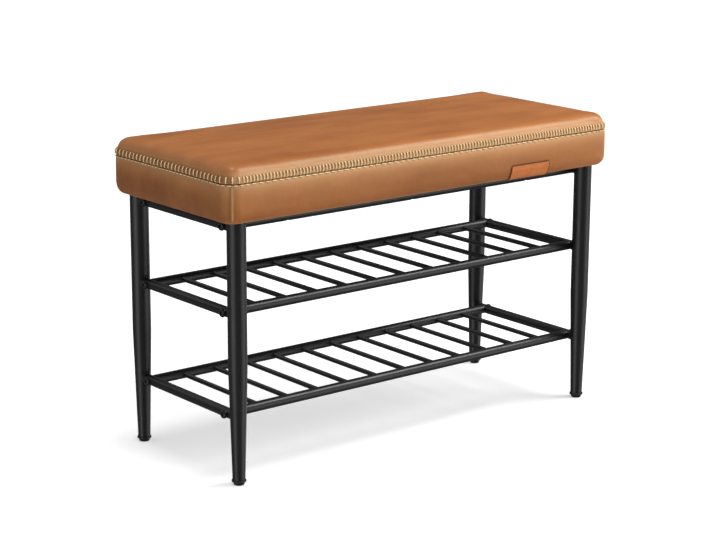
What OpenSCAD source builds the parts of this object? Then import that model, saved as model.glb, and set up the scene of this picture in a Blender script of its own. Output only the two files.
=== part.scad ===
// Shoe bench: a padded seat over two open shoe shelves, on four round legs.
// Millimetres. X runs along the bench, Y to the back and Z up.
// The origin is on the floor, under the middle of the bench.

/* [Overall] */
// Height from the floor to the top of the cushion's crown
bench_h = 508; // [440:1:560]
// Length of the cushion
seat_l = 800; // [700:5:1000]
// Depth of the cushion
seat_w = 330; // [300:2:400]
// Thickness of the whole cushion, from its underside to the crown
cushion_t = 91; // [75:1:110]

/* [Legs] */
// Distance from the cushion's end in to a leg's centre
leg_in_x = 38; // [28:1:60]
// Distance from the cushion's front or back in to a leg's centre
leg_in_y = 32; // [22:1:40]
// Outer diameter of a leg
leg_d = 30; // [26:1:36]
// Outer diameter of a leg at its lower end
leg_end_d = 20; // [19:1:24]
// Height above the floor where the taper starts
taper_z = 188; // [140:1:240]
// Wall of the leg tube
leg_wall = 1.5; // [1:0.1:2]
// Thickness of the flat rim of the plug in a leg's top
cap_rim = 3; // [2:0.5:5]
// Depth of the plug below its rim
cap_plug = 12; // [8:1:20]

/* [Tubes and rods] */
// Outer diameter of the frame and shelf tubes
tube_d = 16; // [14:1:20]
// Wall of the frame and shelf tubes
tube_wall = 1.2; // [1:0.1:1.8]
// Distance from a leg's centre in to the front and rear tubes
tube_inset = 25.5; // [24:0.5:40]
// Distance from the cushion's underside down to the centre of the seat rails
rail_drop = 13.5; // [9:0.5:20]
// Diameter of a shelf rod
rod_d = 8; // [6:0.5:10]
// Number of rods in a shelf
rod_count = 11; // [7:1:11]

/* [Shelves] */
// Height of the lower shelf's tube centres
lower_shelf_z = 108.5; // [70:0.5:130]
// Height of the upper shelf's tube centres
upper_shelf_z = 269; // [240:0.5:300]

/* [Cushion] */
// Thickness of the leather
leather_t = 1.2; // [0.8:0.1:2]
// Thickness of the plywood seat board
board_t = 12; // [9:1:15]
// Thickness of the cloth under the board
dust_t = 0.5; // [0.3:0.1:1]
// Radius of the cushion's corners, seen from above
corner_r = 32; // [28:1:40]
// Radius of the edge between the top and the sides
edge_r = 25; // [18:1:30]
// Radius of the lower edge
low_edge_r = 12; // [8:1:14]
// Rise of the crown above the rounded edge
crown_h = 4; // [1:0.5:10]
// How far the sides draw in at the seam and at the bottom
side_draw = 2.5; // [0:0.5:5]
// How far the long and short sides pull in between the corners
side_pull = 1.5; // [0:0.5:4]
// Straight strip between the seam and the rounded edge
strip_h = 1.5; // [1:0.5:4]
// Width of leather turned under the cushion
turn_under = 40; // [34:1:42]
// Radius of the corners of the cloth under the board
dust_r = 5; // [2:1:12]

/* [Stitching and tag] */
// Distance from one stitch to the next
stitch_pitch = 10; // [8:0.5:16]
// Length of an upright stitch
stitch_h = 13; // [9:0.5:16]
// Width of the thread
thread_w = 2.2; // [1.5:0.1:3]
// Thickness of the thread
thread_t = 1.4; // [1:0.1:2]
// Width of the leather tag
tag_w = 86; // [50:1:110]
// Height of the tag above the cushion's underside
tag_h = 22; // [16:1:30]
// Thickness of the tag
tag_t = 1.6; // [1:0.1:2.5]
// Radius of the tag's upper corners
tag_corner_r = 6; // [2:0.5:8]
// Distance from the cushion's right end to the middle of the tag
tag_in = 188.5; // [100:0.5:300]

/* [Feet] */
// Height of a foot below the leg's end when it is screwed right in
foot_h = 8; // [6:0.5:12]
// Thickness of the foot's flange
flange_t = 3; // [2:0.5:4]
// Diameter of the foot's flange
flange_d = 23; // [20:0.5:28]
// Diameter of the pad below the flange
pad_top_d = 19; // [17:0.5:20]
// Diameter of the pad at the floor
pad_base_d = 16; // [14:0.5:17]
// Diameter of the threaded stud
stud_d = 8; // [6:1:8]
// Length of the stud above the flange
stud_l = 22; // [16:1:30]
// Depth that the stud is set into the foot
stud_set = 6; // [3:0.5:6]
// Length of the threaded bush in a leg's end
bush_l = 16; // [12:1:22]

/* [Fasteners] */
// Diameter of the frame bolts
bolt_d = 8; // [6:0.5:8]
// Diameter of a bolt's button head
bolt_head_d = 14; // [12:0.5:16]
// Height of a bolt's button head
bolt_head_h = 4.4; // [3:0.1:5]
// Diameter of the flat on top of a bolt's head
bolt_flat_d = 8.5; // [7.5:0.5:11]
// Height of the straight rim of a bolt's head
bolt_rim_h = 1.2; // [0.5:0.1:2]
// Width across flats of the hexagon socket
socket_w = 5; // [4:0.5:6]
// Depth of the hexagon socket
socket_t = 2.6; // [1.5:0.1:2.8]
// Length of a bolt under its head
bolt_l = 32; // [28:1:40]
// Length of the threaded insert in a tube's end
insert_l = 14; // [10:1:20]
// Diameter of the seat screws
screw_d = 5; // [4:0.5:6]
// Diameter of a seat screw's pan head
screw_head_d = 10; // [9:0.5:12]
// Height of a seat screw's head
screw_head_h = 2.8; // [2:0.1:4]
// Depth that a seat screw reaches into the board
screw_bite = 9; // [6:0.5:9]
// Distance from a leg's centre in to the nearest seat screw
screw_in = 112; // [60:1:200]
// Diameter of the spacers between the rails and the cushion
spacer_d = 18; // [15:0.5:20]

/* [Fits] */
// Gap between a tube's shaped end and what it is welded or bolted to
weld_fit = 0.1; // [0.05:0.05:0.2]
// Gap round a thread, a plug or an insert
thread_fit = 0.06; // [0.03:0.01:0.1]
// Gap round a bolt or screw where it passes a plain hole
hole_fit = 0.25; // [0.1:0.05:0.5]
// Gap between the leg tops and the cushion, and under stitches and tag
soft_fit = 0.3; // [0.2:0.05:0.5]

/* [Hidden] */
ENDS = ["left", "right"];
SIDES = ["front", "rear"];
SHELVES = ["lower", "upper"];

$fn = 64;
eps = 0.01;
steel_black = "#1d1d1f";
leather_tan = "#b4683a";

// Heights
under_z = bench_h - cushion_t;
board_z = under_z + leather_t;
rail_z = under_z - rail_drop;
rim_z = bench_h - crown_h;
seam_z = rim_z - edge_r - strip_h;
leg_top_z = under_z - soft_fit - cap_rim;
HEIGHTS = [lower_shelf_z, upper_shelf_z, rail_z];

// Places in plan
half_l = seat_l / 2;
half_w = seat_w / 2;
leg_x = half_l - leg_in_x;
leg_y = half_w - leg_in_y;
tube_y = leg_y - tube_inset;
tube_r = tube_d / 2;
rod_pitch = 2 * leg_x / (rod_count + 1);
screw_x = leg_x - screw_in;
screw_seat_z = sqrt(pow(tube_r - tube_wall, 2) - pow(screw_head_d / 2, 2)) - thread_fit;
tag_x = half_l - tag_in;
board_inset = low_edge_r + side_draw + side_pull;
dust_inset = turn_under + side_pull + soft_fit;
board_r = corner_r - board_inset;

// Steps in the soft forms
corner_n = 5;
long_n = 5;
short_n = 2;
low_n = 3;
band_n = 3;
edge_n = 4;
crown_n = 5;

// Which way an end or a side lies from the middle
function end_sign(e) = e == "left" ? -1 : 1;
function side_sign(s) = s == "front" ? -1 : 1;

// Radius of the leg's outside at height z
function leg_r(z) =
    z > taper_z ? leg_d / 2
    : leg_end_d / 2 + (leg_d - leg_end_d) / 2 * (z - foot_h) / (taper_z - foot_h);

// A leg's outline turned round its axis, larger by grow, from z0 to z1
module leg_form(grow, z0, z1) {
    rotate_extrude()
        polygon([
            [0, z0],
            [leg_r(z0) + grow, z0],
            [leg_d / 2 + grow, taper_z],
            [leg_d / 2 + grow, z1],
            [0, z1]
        ]);
}

module leg() {
    color(steel_black)
        difference() {
            leg_form(0, foot_h, leg_top_z);
            leg_form(-leg_wall, foot_h, leg_top_z + eps);
            translate([0, 0, foot_h - eps])
                cylinder(h = 2 * eps, r = leg_r(foot_h) - leg_wall);
        }
}

module at_leg(s, e) {
    translate([end_sign(e) * leg_x, side_sign(s) * leg_y, 0])
        children();
}

module at_all_legs() {
    for (s = SIDES)
        for (e = ENDS)
            at_leg(s, e)
                children();
}

// Plug that closes the top of a leg, under the cushion
module leg_caps() {
    color("#242426")
        at_all_legs()
            union() {
                translate([0, 0, leg_top_z])
                    cylinder(h = cap_rim, d = leg_d);
                translate([0, 0, leg_top_z - cap_plug])
                    cylinder(h = cap_plug, r = leg_d / 2 - leg_wall - thread_fit);
            }
}

// Threaded bush set in the lower end of each leg
module foot_bushes() {
    color("silver")
        at_all_legs()
            difference() {
                rotate_extrude()
                    polygon([
                        [0, foot_h],
                        [leg_r(foot_h) - leg_wall - thread_fit, foot_h],
                        [leg_r(foot_h + bush_l) - leg_wall - thread_fit, foot_h + bush_l],
                        [0, foot_h + bush_l]
                    ]);
                translate([0, 0, foot_h - eps])
                    cylinder(h = bush_l + 2 * eps, r = stud_d / 2 + thread_fit);
            }
}

module foot_pad() {
    color("#28282a")
        difference() {
            union() {
                cylinder(h = foot_h - flange_t, d1 = pad_base_d, d2 = pad_top_d);
                translate([0, 0, foot_h - flange_t])
                    cylinder(h = flange_t, d = flange_d);
            }
            translate([0, 0, foot_h - stud_set])
                cylinder(h = stud_set + eps, r = stud_d / 2 + thread_fit);
        }
}

module foot_stud() {
    color("silver")
        translate([0, 0, foot_h - stud_set])
            cylinder(h = stud_set + stud_l, d = stud_d);
}

// A straight tube along X, open right through, centred on the origin
module tube_x(length) {
    rotate([0, 90, 0])
        difference() {
            cylinder(h = length, r = tube_r, center = true);
            cylinder(h = length + 2 * eps, r = tube_r - tube_wall, center = true);
        }
}

// Long tube between the two side tubes, its ends shaped to fit them
module long_tube(s, z) {
    color(steel_black)
        difference() {
            translate([0, side_sign(s) * tube_y, z])
                tube_x(2 * leg_x);
            for (e = ENDS)
                translate([end_sign(e) * leg_x, side_sign(s) * tube_y, z])
                    rotate([90, 0, 0])
                        cylinder(h = 2 * tube_d, r = tube_r + weld_fit, center = true);
            if (z == rail_z)
                for (x = [-1:1])
                    translate([x * screw_x, side_sign(s) * tube_y, z]) {
                        cylinder(h = 2 * tube_d, r = screw_d / 2 + hole_fit, center = true);
                        translate([0, 0, -tube_d])
                            cylinder(h = tube_d, r = screw_head_d / 2 + hole_fit);
                    }
        }
}

// Tube from the front leg to the rear leg, its ends shaped to the legs
module side_tube(e, z) {
    color(steel_black)
        difference() {
            translate([end_sign(e) * leg_x, 0, z])
                rotate([0, 0, 90])
                    tube_x(2 * leg_y);
            for (s = SIDES)
                at_leg(s, e)
                    leg_form(weld_fit, foot_h, leg_top_z + cap_rim);
            for (s = SIDES)
                translate([end_sign(e) * leg_x, side_sign(s) * tube_y, z])
                    rotate([0, 90, 0])
                        cylinder(h = 2 * tube_d, r = bolt_d / 2 + hole_fit, center = true);
        }
}

// Rod across a shelf, its ends shaped to the front and rear tubes
module shelf_rod(i, z) {
    color(steel_black)
        difference() {
            translate([i * rod_pitch - leg_x, 0, z])
                rotate([90, 0, 0])
                    cylinder(h = 2 * tube_y, d = rod_d, center = true);
            for (s = SIDES)
                translate([i * rod_pitch - leg_x, side_sign(s) * tube_y, z])
                    rotate([0, 90, 0])
                        cylinder(h = 2 * rod_d, r = tube_r + weld_fit, center = true);
        }
}

// Puts its children at each tube end, with +X pointing in along the long tube
module at_tube_ends() {
    for (z = HEIGHTS)
        for (s = SIDES)
            for (e = ENDS)
                translate([end_sign(e) * leg_x, side_sign(s) * tube_y, z])
                    rotate([0, 0, e == "left" ? 0 : 180])
                        children();
}

// Button head bolts through the side tubes into the long tubes
module frame_bolts() {
    color("#2b2b2d")
        at_tube_ends()
            difference() {
                union() {
                    translate([-tube_r, 0, 0])
                        rotate([0, 90, 0])
                            cylinder(h = bolt_l, d = bolt_d);
                    translate([-tube_r - bolt_head_h, 0, 0])
                        rotate([0, 90, 0])
                            rotate_extrude()
                                polygon([
                                    [0, 0],
                                    [bolt_flat_d / 2, 0],
                                    [bolt_head_d / 2, bolt_head_h - bolt_rim_h],
                                    [bolt_head_d / 2, bolt_head_h],
                                    [0, bolt_head_h]
                                ]);
                }
                translate([-tube_r - bolt_head_h - eps, 0, 0])
                    rotate([0, 90, 0])
                        cylinder(h = socket_t + eps, d = socket_w / cos(30), $fn = 6);
            }
}

// Threaded insert pressed into each end of the long tubes
module tube_inserts() {
    color("silver")
        at_tube_ends()
            translate([tube_r + weld_fit + thread_fit, 0, 0])
                rotate([0, 90, 0])
                    difference() {
                        cylinder(h = insert_l, r = tube_r - tube_wall - thread_fit);
                        translate([0, 0, -eps])
                            cylinder(h = insert_l + 2 * eps, r = bolt_d / 2 + thread_fit);
                    }
}

// Puts its children on the seat rails at the height of their centres
module at_seat_screws() {
    for (s = SIDES)
        for (x = [-1:1])
            translate([x * screw_x, side_sign(s) * tube_y, rail_z])
                children();
}

// Plastic saddles that fill the space between the rails and the cushion
module seat_spacers() {
    color("#303032")
        at_seat_screws()
            difference() {
                cylinder(h = rail_drop + leather_t - dust_t, d = spacer_d);
                rotate([0, 90, 0])
                    cylinder(h = 2 * spacer_d, r = tube_r + weld_fit, center = true);
                translate([0, 0, -spacer_d])
                    cube([2 * spacer_d, 2 * spacer_d, 2 * spacer_d + tube_r], center = true);
                cylinder(h = 4 * spacer_d, r = screw_d / 2 + hole_fit, center = true);
            }
}

// Pan head screws up through the rails into the board, their heads inside the
// rails, where a wider hole in the underside lets them in
module seat_screws() {
    color("#2b2b2d")
        at_seat_screws()
            union() {
                translate([0, 0, screw_seat_z - screw_head_h])
                    cylinder(h = screw_head_h, d1 = 0.8 * screw_head_d, d2 = screw_head_d);
                translate([0, 0, screw_seat_z])
                    cylinder(h = rail_drop + leather_t + screw_bite - screw_seat_z, d = screw_d);
            }
}

// A rectangle with round corners, centred on the origin
module round_rect(l, w, r) {
    square([l - 2 * r, w], center = true);
    square([l, w - 2 * r], center = true);
    for (x = [-1, 1])
        for (y = [-1, 1])
            translate([x * (l / 2 - r), y * (w / 2 - r)])
                circle(r = r);
}

module seat_board() {
    color("#d9b98a")
        difference() {
            translate([0, 0, board_z])
                linear_extrude(board_t)
                    round_rect(seat_l - 2 * board_inset, seat_w - 2 * board_inset, board_r);
            translate([0, 0, board_z - rail_z])
                at_seat_screws()
                    translate([0, 0, -eps])
                        cylinder(h = screw_bite + soft_fit + eps, r = screw_d / 2 + thread_fit);
        }
}

// Black cloth that covers the board between the turned-in leather
module dust_cover() {
    color("#19191a")
        translate([0, 0, board_z - dust_t])
            difference() {
                linear_extrude(dust_t)
                    round_rect(seat_l - 2 * dust_inset, seat_w - 2 * dust_inset, dust_r);
                translate([0, 0, -rail_z])
                    at_seat_screws()
                        cylinder(h = 4 * dust_t, r = screw_d / 2 + hole_fit, center = true);
            }
}

// Points of a quarter circle, and of a straight side between two points
function arc(cx, cy, r, a0) =
    [for (k = [0:corner_n]) [cx + r * cos(a0 + 90 * k / corner_n), cy + r * sin(a0 + 90 * k / corner_n)]];
function along(p, q, n) = [for (k = [1:n]) p + (q - p) * k / (n + 1)];

// A rounded rectangle as a ring of points, always with the same count
function ring(hx, hy, r) = concat(
    arc(hx - r, -(hy - r), r, -90),
    along([hx, -(hy - r)], [hx, hy - r], short_n),
    arc(hx - r, hy - r, r, 0),
    along([hx - r, hy], [-(hx - r), hy], long_n),
    arc(-(hx - r), hy - r, r, 90),
    along([-hx, hy - r], [-hx, -(hy - r)], short_n),
    arc(-(hx - r), -(hy - r), r, 180),
    along([-(hx - r), -hy], [hx - r, -hy], long_n)
);

// Moves a point in where the sides pull in between the corners
function pulled(p) = [
    p.x * (1 - side_pull / half_l * (1 - pow(p.y / half_w, 2))),
    p.y * (1 - side_pull / half_w * (1 - pow(p.x / half_l, 2)))
];

// How far the side lies in from the widest line at height z; off is the
// depth below the outer skin
mid_z = (under_z + seam_z) / 2;
function draw_in(z) = side_draw * pow((min(z, seam_z) - mid_z) / (seam_z - mid_z), 2);
function low_in(z, off) =
    z < under_z + low_edge_r
    ? low_edge_r - off - sqrt(max(0, pow(low_edge_r - off, 2) - pow(under_z + low_edge_r - z, 2)))
    : 0;
function top_in(z, off) =
    z > rim_z - edge_r
    ? edge_r - off - sqrt(max(0, pow(edge_r - off, 2) - pow(z - rim_z + edge_r, 2)))
    : 0;
function inset_at(z, off) = off + draw_in(z) + low_in(z, off) + top_in(z, off);

// A ring at height z, inset by d, with sides that pull in or run straight
function outline(d) = ring(half_l - d, half_w - d, max(corner_r - d, 1));
function flat_ring(d, z) = [for (p = outline(d)) concat(pulled(p), z)];
function straight_ring(d, z) = [for (p = outline(d)) concat(p, z)];
function skin_ring(z, off) = flat_ring(inset_at(z, off), z);

// Heights of the rings: lower edge, band, rounded edge
function low_zs(off) = [for (k = [0:low_n]) under_z + low_edge_r - (low_edge_r - off) * cos(90 * k / low_n)];
band_step = (seam_z - under_z - low_edge_r) / band_n;
band_zs = [for (k = [1:band_n]) under_z + low_edge_r + k * band_step];
function edge_zs(off) = [for (k = [0:edge_n]) rim_z - edge_r + (edge_r - off) * sin(90 * k / edge_n)];

// The crown: rings that shrink towards the middle while the surface rises
rim_l = half_l - edge_r - side_draw;
rim_w = half_w - edge_r - side_draw;
function crown_ring(s, off) = [
    for (p = ring(rim_l, rim_w, max(corner_r - edge_r - side_draw, 1)))
        concat(
            pulled(p * s),
            rim_z - off + crown_h * (1 - pow(p.x * s / rim_l, 2)) * (1 - pow(p.y * s / rim_w, 2))
        )
];
function crown_rings(off) = [for (k = [1:crown_n - 1]) crown_ring(cos(90 * k / crown_n), off)];
function crown_top(off) = [0, 0, rim_z - off + crown_h];
function reversed(list) = [for (k = [len(list) - 1:-1:0]) list[k]];
function flat(list) = [for (part = list) each part];

// Closed skin over rings, with a point at each end
module pole_loft(first, rings, last) {
    n = len(rings[0]);
    m = len(rings);
    polyhedron(
        points = concat(flat(rings), [first, last]),
        faces = concat(
            [for (i = [0:n - 1]) [n * m, i, (i + 1) % n]],
            [for (j = [0:m - 2]) for (i = [0:n - 1]) [j * n + i, (j + 1) * n + i, j * n + (i + 1) % n]],
            [
                for (j = [0:m - 2])
                    for (i = [0:n - 1])
                        [j * n + (i + 1) % n, (j + 1) * n + i, (j + 1) * n + (i + 1) % n]
            ],
            [for (i = [0:n - 1]) [n * m + 1, (m - 1) * n + (i + 1) % n, (m - 1) * n + i]]
        )
    );
}

// Closed skin over rings whose last ring meets the first
module loop_loft(rings) {
    n = len(rings[0]);
    m = len(rings);
    polyhedron(
        points = flat(rings),
        faces = concat(
            [
                for (j = [0:m - 1])
                    for (i = [0:n - 1])
                        [j * n + i, ((j + 1) % m) * n + i, j * n + (i + 1) % n]
            ],
            [
                for (j = [0:m - 1])
                    for (i = [0:n - 1])
                        [j * n + (i + 1) % n, ((j + 1) % m) * n + i, ((j + 1) % m) * n + (i + 1) % n]
            ]
        )
    );
}

// Foam over the board and round its edge
module foam_pad() {
    off = leather_t + soft_fit;
    foam_z = board_z + soft_fit;
    color("#efe3c2")
        pole_loft(
            [0, 0, board_z + board_t],
            concat(
                [straight_ring(board_inset - soft_fit, board_z + board_t)],
                [straight_ring(board_inset - soft_fit, foam_z)],
                [for (z = low_zs(off)) if (z > foam_z + soft_fit) skin_ring(z, off)],
                [for (z = band_zs) skin_ring(z, off)],
                [for (z = edge_zs(off)) skin_ring(z, off)],
                crown_rings(off)
            ),
            crown_top(off)
        );
}

// Top panel: covers the crown and the rounded edge, down to the seam
module leather_top() {
    color(leather_tan)
        pole_loft(
            crown_top(leather_t),
            concat(
                reversed(crown_rings(leather_t)),
                reversed([for (z = edge_zs(leather_t)) skin_ring(z, leather_t)]),
                [skin_ring(seam_z, leather_t)],
                [skin_ring(seam_z, 0)],
                [for (z = edge_zs(0)) skin_ring(z, 0)],
                crown_rings(0)
            ),
            crown_top(0)
        );
}

// Side band: from the seam down, round the lower edge and in under the board
module leather_band() {
    color(leather_tan)
        loop_loft(
            concat(
                [flat_ring(turn_under, under_z)],
                [for (z = low_zs(0)) skin_ring(z, 0)],
                [for (z = band_zs) skin_ring(z, 0)],
                reversed([for (z = band_zs) skin_ring(z, leather_t)]),
                reversed([for (z = low_zs(leather_t)) skin_ring(z, leather_t)]),
                [flat_ring(turn_under, board_z)]
            )
        );
}

// Stitches along the seam: how many on each stretch, and where they stand
seam_in = side_draw - soft_fit;
side_long = seat_l - 2 * corner_r;
side_short = seat_w - 2 * corner_r;
long_count = floor(side_long / stitch_pitch);
short_count = floor(side_short / stitch_pitch);
corner_count = max(2, round(PI * corner_r / 2 / stitch_pitch));
function spread(length, count, k) = length * ((k + 0.5) / count - 0.5);

// One upright stitch, leaning with the rounded edge that it lies on
module stitch() {
    lean = asin((stitch_h / 2) / edge_r);
    rotate([0, 0, 90])
        translate([0, 0, strip_h / 2])
            rotate([0, -lean / 2, 0])
                translate([0, -thread_w / 2, 0])
                    cube([thread_t, thread_w, stitch_h]);
}

// Stitch at p on the outline, facing the direction turn
module stitch_at(p, turn) {
    q = pulled(p);
    translate([q.x, q.y, seam_z])
        rotate([0, 0, turn - 90])
            stitch();
}

// Stitch on the corner at the end s and the side t, at an angle round it
module corner_stitch(s, t, angle) {
    r = corner_r - seam_in;
    stitch_at(
        [s * (side_long / 2 + r * cos(angle)), t * (side_short / 2 + r * sin(angle))],
        s > 0 ? t * angle : 180 - t * angle
    );
}

// Thread: one running line along the seam and a row of upright stitches
module seam_thread() {
    color("#efd9a8") {
        loop_loft([
            flat_ring(seam_in, seam_z - thread_t),
            flat_ring(seam_in - thread_t, seam_z - thread_t),
            flat_ring(seam_in - thread_t, seam_z),
            flat_ring(seam_in, seam_z)
        ]);
        for (s = [-1, 1]) {
            for (k = [0:long_count - 1])
                stitch_at([spread(side_long, long_count, k), s * (half_w - seam_in)], s * 90);
            for (k = [0:short_count - 1])
                stitch_at([s * (half_l - seam_in), spread(side_short, short_count, k)], s > 0 ? 0 : 180);
            for (t = [-1, 1])
                for (k = [1:corner_count - 1])
                    corner_stitch(s, t, 90 * k / corner_count);
        }
    }
}

// Bare leather tag at the foot of the front side, its lower edge tucked under
module leather_tag() {
    zs = concat([for (k = [0:2]) low_zs(0)[k]], [under_z + low_edge_r, under_z + tag_h]);
    face_y = -pulled([tag_x, half_w]).y;
    skin = [for (z = zs) [inset_at(z, 0) - soft_fit, z]];
    outer = [for (z = zs) [inset_at(z, 0) - soft_fit - tag_t, max(z - tag_t / 2, under_z - soft_fit)]];
    color("#a4552c")
        intersection() {
            translate([tag_x - tag_w / 2, face_y, 0])
                rotate([90, 0, 90])
                    linear_extrude(tag_w)
                        polygon(concat(skin, reversed(outer)));
            translate([tag_x, half_w, under_z])
                rotate([90, 0, 0])
                    linear_extrude(seat_w * 2)
                        union() {
                            translate([-tag_w / 2, -low_edge_r])
                                square([tag_w, low_edge_r + tag_h - tag_corner_r]);
                            for (x = [-1, 1])
                                translate([x * (tag_w / 2 - tag_corner_r), tag_h - tag_corner_r])
                                    circle(r = tag_corner_r);
                            translate([-tag_w / 2 + tag_corner_r, 0])
                                square([tag_w - 2 * tag_corner_r, tag_h]);
                        }
        }
}

for (s = SIDES)
    for (e = ENDS) {
        at_leg(s, e) leg();
        at_leg(s, e) foot_pad();
        at_leg(s, e) foot_stud();
    }
leg_caps();
foot_bushes();
for (s = SIDES) {
    long_tube(s, rail_z);
    long_tube(s, lower_shelf_z);
    long_tube(s, upper_shelf_z);
}
for (e = ENDS) {
    side_tube(e, rail_z);
    side_tube(e, lower_shelf_z);
    side_tube(e, upper_shelf_z);
}
for (i = [1:rod_count]) {
    shelf_rod(i, lower_shelf_z);
    shelf_rod(i, upper_shelf_z);
}
frame_bolts();
tube_inserts();
seat_spacers();
seat_screws();
seat_board();
foam_pad();
leather_top();
leather_band();
seam_thread();
leather_tag();
dust_cover();
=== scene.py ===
import math

import bpy
import numpy as np
from mathutils import Matrix, Vector


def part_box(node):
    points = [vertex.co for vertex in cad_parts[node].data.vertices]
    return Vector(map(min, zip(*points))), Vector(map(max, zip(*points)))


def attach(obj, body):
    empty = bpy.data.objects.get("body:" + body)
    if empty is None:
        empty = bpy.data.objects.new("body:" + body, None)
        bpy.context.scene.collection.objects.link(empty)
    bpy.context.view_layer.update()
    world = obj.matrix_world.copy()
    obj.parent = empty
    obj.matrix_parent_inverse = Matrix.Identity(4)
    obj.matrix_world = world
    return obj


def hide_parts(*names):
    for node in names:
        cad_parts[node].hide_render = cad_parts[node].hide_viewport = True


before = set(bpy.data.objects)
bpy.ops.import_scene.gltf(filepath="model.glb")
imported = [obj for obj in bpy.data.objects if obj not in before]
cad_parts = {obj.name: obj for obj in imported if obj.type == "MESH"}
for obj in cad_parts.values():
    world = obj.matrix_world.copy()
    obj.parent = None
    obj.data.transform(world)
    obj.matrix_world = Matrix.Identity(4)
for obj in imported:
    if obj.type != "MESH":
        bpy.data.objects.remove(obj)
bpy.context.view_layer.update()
MM = 0.001


# Camera. It stands off the bench's front left leg, a little above the seat, and
# looks along the bench and down on it with a long lens.
CAMERA_PLACE = (-2.07632, -2.55670, 1.08167)
CAMERA_YAW, CAMERA_PITCH, CAMERA_ROLL = (math.radians(a) for a in (-38.779, -14.047, 0.228))

bpy.ops.object.camera_add(location=CAMERA_PLACE)
camera = bpy.context.object
camera.rotation_euler = (
    Matrix.Rotation(CAMERA_YAW, 3, "Z")
    @ Matrix.Rotation(math.pi / 2 + CAMERA_PITCH, 3, "X")
    @ Matrix.Rotation(CAMERA_ROLL, 3, "Z")
).to_euler()
camera.data.sensor_width = 36
camera.data.lens = 102.58
camera.data.clip_end = 50
bpy.context.scene.camera = camera


# Studio. A pale floor that keeps the soft shadow under the bench, a white
# surround, light from straight above and a soft box to the front right; in gloss
# the surround is dim but for the pale panels that draw highlights down the legs.
def set_inputs(node, inputs):
    """Sets a node's inputs, by name or number, each to a value or to the output that feeds it."""
    for name, value in inputs.items():
        if isinstance(value, bpy.types.NodeSocket):
            node.id_data.links.new(value, node.inputs[name])
        else:
            node.inputs[name].default_value = value


def add_node(tree, kind, inputs=None, **settings):
    """A new shader node with its settings and its inputs."""
    node = tree.nodes.new("ShaderNode" + kind)
    for name, value in settings.items():
        setattr(node, name, value)
    set_inputs(node, inputs or {})
    return node


def seen_by(tree, *kinds):
    """1 for the kinds of ray that are named, else 0."""
    path = add_node(tree, "LightPath")
    value = path.outputs[kinds[0]]
    for kind in kinds[1:]:
        value = add_node(tree, "Math", {0: value, 1: path.outputs[kind]}, operation="MAXIMUM").outputs[0]
    return value


def spread(value, low, high):
    """A pattern's values brought into a range."""
    inputs = {"Value": value, "To Min": low, "To Max": high}
    return add_node(value.id_data, "MapRange", inputs).outputs["Result"]


def toward(azimuth, elevation):
    """A direction from its compass angle, anticlockwise from +X, and its height, in degrees."""
    a, e = math.radians(azimuth), math.radians(elevation)
    return (math.cos(a) * math.cos(e), math.sin(a) * math.cos(e), math.sin(e))


def panels(tree, look, base, *glows):
    """Brightness by direction: a base, and round panels of azimuth, elevation, start and end of fade, brightness."""
    total = base
    for azimuth, elevation, inner, outer, brightness in glows:
        facing = add_node(tree, "VectorMath", {0: look, 1: toward(azimuth, elevation)}, operation="DOT_PRODUCT")
        panel = add_node(tree, "MapRange", {
            "Value": facing.outputs["Value"],
            "From Min": math.cos(math.radians(outer)),
            "From Max": math.cos(math.radians(inner)),
            "To Max": brightness,
        }, interpolation_type="SMOOTHSTEP")
        total = add_node(tree, "Math", {0: panel.outputs["Result"], 1: total}).outputs[0]
    return add_node(tree, "Background", {"Strength": total}).outputs[0]


world = bpy.data.worlds.new("studio")
world.use_nodes = True
bpy.context.scene.world = world
tree = world.node_tree
surround = tree.nodes["Background"]
set_inputs(surround, {"Strength": 1.05, "Color": (1, 1, 1, 1)})
look = add_node(tree, "TexCoord").outputs["Generated"]
fill = panels(tree, look, 0.14, (-60, 10, 10, 75, 1.08), (178, 56, 10, 58, 0.55))
mirrored = panels(
    tree, look, 0.2, (-174, -8, 10, 31, 2.2), (-50, -8, 8, 31, 1.9),
    (12, -8, 8, 30, 0.9), (102, 42, 12, 34, 0.75), (-23, 26, 6, 20, 3.6),
)
in_gloss = add_node(tree, "MixShader", {"Fac": seen_by(tree, "Is Glossy Ray"), 1: fill, 2: mirrored})
viewed = seen_by(tree, "Is Camera Ray", "Is Transmission Ray")
straight = add_node(tree, "MixShader", {"Fac": viewed, 1: in_gloss.outputs[0], 2: surround.outputs[0]})
set_inputs(tree.nodes["World Output"], {"Surface": straight.outputs[0]})

bpy.ops.mesh.primitive_plane_add(size=30)
floor = bpy.context.object
floor.name = "studio_floor"
floor.visible_glossy = False
floor_finish = bpy.data.materials.new("floor_paper")
floor_finish.use_nodes = True
tree = floor_finish.node_tree
tree.nodes.clear()
paper = add_node(tree, "BsdfDiffuse", {"Color": (0.78, 0.78, 0.78, 1)})
viewed = seen_by(tree, "Is Camera Ray", "Is Transmission Ray")
lift = add_node(tree, "Emission", {"Strength": spread(viewed, 0, 0.49)})
both = add_node(tree, "AddShader", {0: paper.outputs[0], 1: lift.outputs[0]})
add_node(tree, "OutputMaterial", {"Surface": both.outputs[0]})
floor.data.materials.append(floor_finish)

bpy.ops.object.light_add(type="SUN", location=(0, 0, 3))
overhead = bpy.context.object
overhead.name = "overhead"
overhead.data.energy = 1.2
overhead.data.angle = math.radians(12)

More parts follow.
